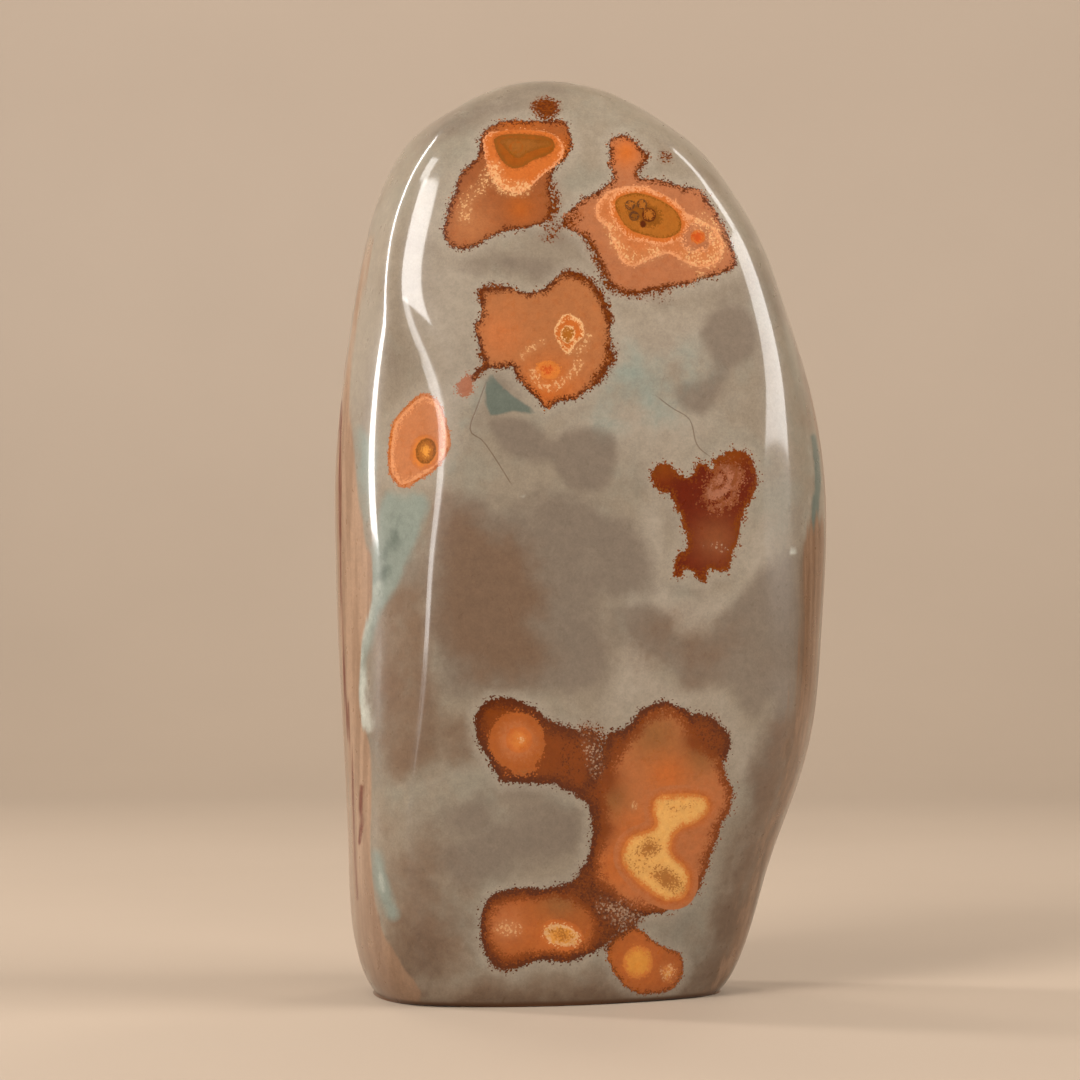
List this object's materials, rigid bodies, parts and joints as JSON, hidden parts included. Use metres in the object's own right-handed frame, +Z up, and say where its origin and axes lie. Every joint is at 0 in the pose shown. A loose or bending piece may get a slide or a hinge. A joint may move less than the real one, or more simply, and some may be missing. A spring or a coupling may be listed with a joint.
{
  "type": "polished standing stone",
  "caption": "Free-form polished jasper standing stone with a domed top, a faceted left side and a flat sawn foot.",
  "frame": {"origin": "on the ground, in the middle of the stone's bounding box", "axes": "+Z up, the broad front face looks along -Y, +X to the right as seen from the front"},
  "size_m": [0.087, 0.048, 0.16],
  "materials": {
    "polished_jasper": "polished"
  },
  "bodies": {
    "root": {"stone": "polished_jasper"}
  },
  "joints": []
}
